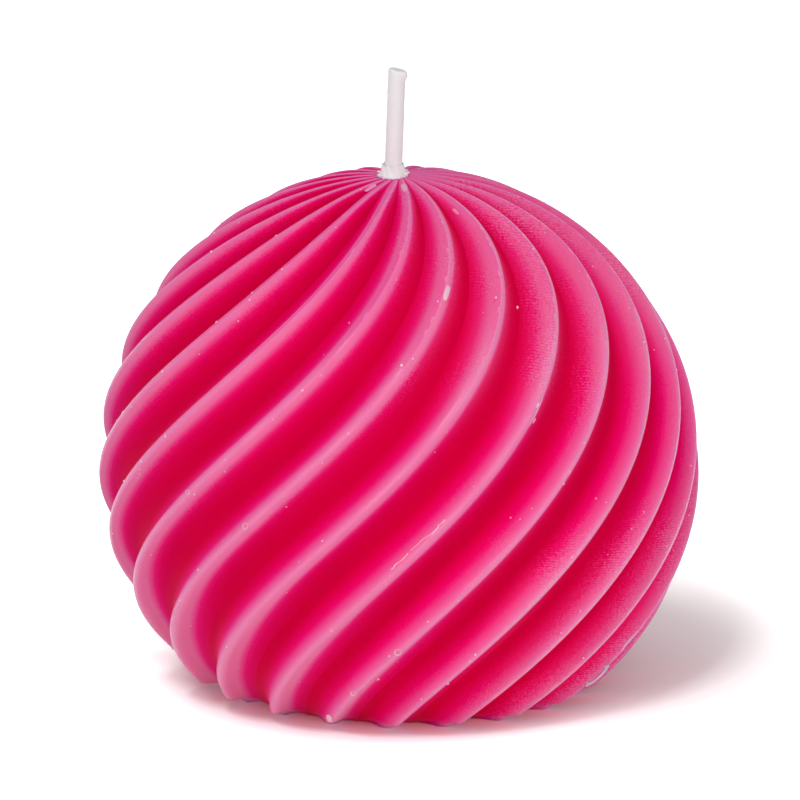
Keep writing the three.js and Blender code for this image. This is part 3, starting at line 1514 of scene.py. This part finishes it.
@dataclass
class Collar:
    """White wax that ran down the wick and set in a ragged ring at its foot.

    The fall gives its radius and its rise over the foot, between its widest ring and its neck.
    """

    axis: float = WICK_AXIS
    bore: float = WICK_BORE
    radius: float = 1.9
    foot: float = 68.6
    height: float = 1.6
    heel: float = 1.7
    neck: float = 1.4
    fall: tuple[tuple[float, float], ...] = ((1.8, 0.3), (1.62, 0.5), (1.5, 0.8), (1.44, 1.1))
    waves: int = 5
    wave_counts: tuple[int, int] = (3, 13)
    bulge: float = 0.2
    peak: float = 0.25
    crumbs: int = 46
    crumb_sizes: tuple[float, float] = (0.25, 0.55)
    crumb_spread: tuple[float, float] = (-0.4, 0.3)
    crumb_rises: tuple[float, float] = (0.15, 0.7)

    def ragged(self, point: Vector, waves: list[tuple[int, float]]) -> float:
        """Weighs the outer wall's bulges, which change from lump to lump.

        Args:
            point: The point in metres.
            waves: Count round the ring and phase of each wave.

        Returns:
            A weight from 0 to 1, and 0 inside the bore.
        """
        turn = math.atan2(point.y, point.x - mm(self.axis))
        level = point.z * 1000 - self.foot
        outer = math.hypot(point.x - mm(self.axis), point.y) * 1000 > self.bore + 0.05
        wave = sum(math.sin(count * turn + phase + level * 3) for count, phase in waves)
        return max(0.0, min(1.0, 0.5 + wave / 6)) if outer else 0.0

    def build(self) -> bpy.types.Object:
        """Shapes the ring and roughens it.

        Returns:
            The finished piece.
        """
        profile = [
            (self.bore, self.foot),
            (self.heel, self.foot),
            (self.radius, self.foot + 0.1),
            *((radius, self.foot + rise) for radius, rise in self.fall),
            (self.neck, self.foot + 1.4),
            (self.neck, self.foot + self.height),
            (self.bore, self.foot + self.height),
        ]
        ring = turned("wick_foot_wax", profile, sides=56, axis=self.axis, hollow=True)
        lumps = random.Random(6)
        waves = [
            (lumps.randrange(*self.wave_counts), lumps.uniform(0, math.tau))
            for _ in range(self.waves)
        ]
        push(ring, self.bulge, lambda point: self.ragged(point, waves))
        push(
            ring,
            self.peak,
            lambda point: self.ragged(point, waves) * ease((point.z * 1000 - self.foot) / 1.2),
            "Z",
        )
        self.crumble(ring)
        smooth(ring, 60)
        dress(ring, PrimingWax().make(), "wick_collar")
        return ring

    def crumble(self, ring: bpy.types.Object) -> None:
        """Adds crumbs of wax that stuck round the foot.

        Args:
            ring: The collar so far.
        """
        chance = random.Random(8)
        blanks = Blanks()
        crumbs = []
        for _ in range(self.crumbs):
            turn = chance.uniform(0, math.tau)
            away = self.radius + chance.uniform(*self.crumb_spread)
            spot = (self.axis + away * math.cos(turn), away * math.sin(turn))
            level = self.foot + chance.uniform(*self.crumb_rises)
            size = chance.uniform(*self.crumb_sizes)
            here = Matrix.Translation((mm(spot[0]), mm(spot[1]), mm(level)))
            crumb = Blemish(Mark.BEAD, (*spot, level), (size, size * 0.8, size * 0.7))
            crumbs.append(blanks.copy(crumb, here @ Matrix.Rotation(turn, 4, "Z")))
        blanks.clear()
        tool = join(crumbs, "crumbs")
        # The crumbs overlap each other, which this solver only takes with use_self.
        finish_modifier(
            ring, "BOOLEAN", operation="UNION", solver="EXACT", use_self=True, object=tool
        )
        bpy.data.objects.remove(tool)


@dataclass
class Sustainer:
    """The stamped disc with its drawn and crimped neck, which holds the wick in the base.

    The draw gives how far out of the neck and above the disc the sheet turns up, step by step.
    """

    axis: float = WICK_AXIS
    underside: float = 0.6
    sheet: float = 0.3
    disc_radius: float = 7.5
    edge: float = 0.05
    neck_bore: float = WICK_BORE
    neck_rise: float = 6.0
    draw: tuple[tuple[float, float], ...] = ((0.6, 0.0), (0.3, 0.08), (0.08, 0.3), (0.0, 0.6))
    crimp: float = 0.08
    crimp_rises: tuple[float, float, float] = (2.8, 3.6, 4.4)

    def build(self) -> bpy.types.Object:
        """Draws the disc and neck from one sheet.

        Returns:
            The finished piece.
        """
        low = self.underside
        high = low + self.sheet
        outer = self.neck_bore + self.sheet
        below, waist, above = (high + rise for rise in self.crimp_rises)
        profile = [
            (self.neck_bore, low),
            (self.disc_radius - self.edge, low),
            (self.disc_radius, low + self.edge),
            (self.disc_radius, high - self.edge),
            (self.disc_radius - self.edge, high),
            *((outer + out, high + rise) for out, rise in self.draw),
            (outer, below),
            (outer - self.crimp, waist),
            (outer, above),
            (outer, high + self.neck_rise),
            (self.neck_bore, high + self.neck_rise),
            (self.neck_bore, above),
            (self.neck_bore - self.crimp, waist),
            (self.neck_bore, below),
        ]
        disc = turned("sustainer_tin", profile, sides=64, axis=self.axis, hollow=True)
        smooth(disc, 40)
        dress(disc, Tinplate().make(), "wick_sustainer")
        return disc


# The studio


@dataclass(frozen=True)
class SoftBox:
    """A rectangular lamp that looks at the candle."""

    name: str
    place: tuple[float, float, float]
    width: float
    height: float
    power: float

    def hang(self, target: Vector) -> None:
        """Adds the lamp.

        Args:
            target: The point that it looks at, in metres.
        """
        light = bpy.data.lights.new(self.name, "AREA")
        light.shape = "RECTANGLE"
        light.size = self.width
        light.size_y = self.height
        light.energy = self.power
        lamp = bpy.data.objects.new(self.name, light)
        lamp.location = self.place
        lamp.rotation_euler = (Vector(self.place) - target).to_track_quat("Z", "Y").to_euler()
        bpy.context.scene.collection.objects.link(lamp)


@dataclass
class Studio:
    """A pale floor, a white surround and soft lamps.

    Reaches are in mm from the middle of what they go round, where a change starts and ends.
    """

    floor_reach: float = 2.5
    floor_drop: float = 0.05
    floor_colour: str = "#f4f4f4"
    near_lift: tuple[float, float, float] = (1.28, 1.55, 1.5)
    far_lift: tuple[float, float, float] = (1.7, 1.66, 1.66)
    lift_reach: tuple[float, float] = (30, 66)
    shade_middle: tuple[float, float, float] = (0.019, 0.013, 0.0)
    shade_reach: tuple[float, float] = (21, 46)
    contact_reach: tuple[float, float] = (26, 34)
    glow: float = 0.5
    surround: float = 0.56
    aim: float = 35.0

    def floor(self) -> bpy.types.Object:
        """Lays the floor just under the base.

        Returns:
            The floor.
        """
        deselect_all()
        bpy.ops.mesh.primitive_grid_add(
            x_subdivisions=4,
            y_subdivisions=4,
            size=self.floor_reach,
            location=(0, 0, mm(-self.floor_drop)),
        )
        floor = name_new("floor")
        paint = Coating("pale_floor")
        rays = paint.add("LightPath").outputs
        mirrored = paint.add(
            "Math",
            {0: rays["Is Glossy Ray"], 1: rays["Is Transmission Ray"]},
            operation="MAXIMUM",
        )
        ray = paint.add(
            "Math",
            {0: rays["Is Camera Ray"], 1: mirrored.outputs["Value"]},
            operation="MAXIMUM",
        ).outputs["Value"]
        matt = paint.add("BsdfDiffuse", {"Color": linear(self.floor_colour)})
        place = paint.add("TexCoord").outputs["Object"]
        # The eye sees the floor lifted to white, and less of the wax's pink light on it.
        plain = linear(self.floor_colour)
        near_tone, far_tone = (
            (*(value * lift for value, lift in zip(plain, lifts)), 1.0)
            for lifts in (self.near_lift, self.far_lift)
        )
        from_candle = paint.add("VectorMath", {0: place}, operation="LENGTH").outputs["Value"]
        start, end = self.lift_reach
        beyond = paint.add(
            "MapRange", {"Value": from_candle, "From Min": mm(start), "From Max": mm(end)}
        ).outputs["Result"]
        blend = paint.add(
            "Mix", {"Factor": beyond, MIX_ONE: near_tone, MIX_OTHER: far_tone}, data_type="RGBA"
        )
        bright = paint.add("BsdfDiffuse", {"Color": blend.outputs[MIX_RESULT]})
        # The glow that takes the open floor to white keeps off the shadow and the contact line.
        masks = []
        for middle, (start, end) in (
            (self.shade_middle, self.shade_reach),
            ((0.0, 0.0, 0.0), self.contact_reach),
        ):
            reach = paint.add("VectorMath", {0: place, 1: middle}, operation="DISTANCE")
            mask = paint.add(
                "MapRange",
                {"Value": reach.outputs["Value"], "From Min": mm(start), "From Max": mm(end)},
                interpolation_type="SMOOTHSTEP",
            )
            masks.append(mask.outputs["Result"])
        level = paint.math("MULTIPLY", paint.math("MULTIPLY", *masks), self.glow)
        glow = paint.add("Emission", {"Color": linear("#ffffff"), "Strength": level})
        lit = paint.add("AddShader", {0: bright.outputs["BSDF"], 1: glow.outputs["Emission"]})
        seen = paint.add(
            "MixShader", {0: ray, 1: matt.outputs["BSDF"], 2: lit.outputs["Shader"]}
        )
        floor.data.materials.append(paint.finish(seen.outputs["Shader"]))
        return floor

    def world(self) -> None:
        """Surrounds the set with white that the eye and glossy rays see at full strength."""
        world = bpy.data.worlds.new("surround")
        bpy.context.scene.world = world
        world.use_nodes = True
        tree = world.node_tree
        tree.nodes.clear()
        path = tree.nodes.new("ShaderNodeLightPath")
        seen = tree.nodes.new("ShaderNodeMath")
        seen.operation = "MAXIMUM"
        tree.links.new(path.outputs["Is Camera Ray"], seen.inputs[0])
        both = tree.nodes.new("ShaderNodeMath")
        both.operation = "MAXIMUM"
        tree.links.new(path.outputs["Is Glossy Ray"], both.inputs[0])
        tree.links.new(path.outputs["Is Transmission Ray"], both.inputs[1])
        tree.links.new(both.outputs[0], seen.inputs[1])
        level = tree.nodes.new("ShaderNodeMapRange")
        level.inputs["To Min"].default_value = self.surround
        level.inputs["To Max"].default_value = 1.0
        tree.links.new(seen.outputs[0], level.inputs["Value"])
        sky = tree.nodes.new("ShaderNodeBackground")
        tree.links.new(level.outputs["Result"], sky.inputs["Strength"])
        out = tree.nodes.new("ShaderNodeOutputWorld")
        tree.links.new(sky.outputs["Background"], out.inputs["Surface"])

    def build(self) -> None:
        """Sets up the floor, the surround and the lamps."""
        self.floor()
        self.world()
        target = Vector((0, 0, mm(self.aim)))
        for box in (
            SoftBox("key_box", (-0.59, -1.62, 2.49), 0.5, 0.5, 18.0),
            SoftBox("left_box", (-2.20, -1.90, 0.90), 1.4, 1.2, 7.0),
            SoftBox("front_box", (0.10, -2.99, 0.17), 1.6, 0.3, 16.0),
            SoftBox("right_box", (2.20, -2.00, 0.50), 1.3, 0.9, 11.0),
        ):
            box.hang(target)


@dataclass(frozen=True)
class PhotoCamera:
    """The long lens that the photograph was taken with."""

    place: tuple[float, float, float] = (0.0, -1418.7, 432.2)
    tilt: float = math.pi / 2 - 0.27104
    pan: float = -7.2e-5
    lens: float = 498.5

    def build(self) -> None:
        """Adds the camera and makes it the scene's."""
        data = bpy.data.cameras.new("photo_camera")
        data.lens = self.lens
        data.sensor_width = 36.0
        data.clip_start = 0.01
        data.clip_end = 20.0
        camera = bpy.data.objects.new("photo_camera", data)
        camera.location = tuple(mm(value) for value in self.place)
        camera.rotation_euler = (self.tilt, 0.0, self.pan)
        bpy.context.scene.collection.objects.link(camera)
        bpy.context.scene.camera = camera


def main() -> None:
    """Builds the candle and its studio, and reports each piece."""
    logging.basicConfig(level=logging.INFO, format="%(name)s: %(message)s")
    PhotoCamera().build()
    pieces = [WaxBall().build(), *Wick().build(), Collar().build(), Sustainer().build()]
    for piece in pieces:
        triangles = sum(len(face.vertices) - 2 for face in piece.data.polygons)
        log.info("%s has %d triangles", piece.name, triangles)
    Studio().build()
    bpy.context.scene.view_settings.view_transform = "Standard"


if __name__ == "__main__":
    main()
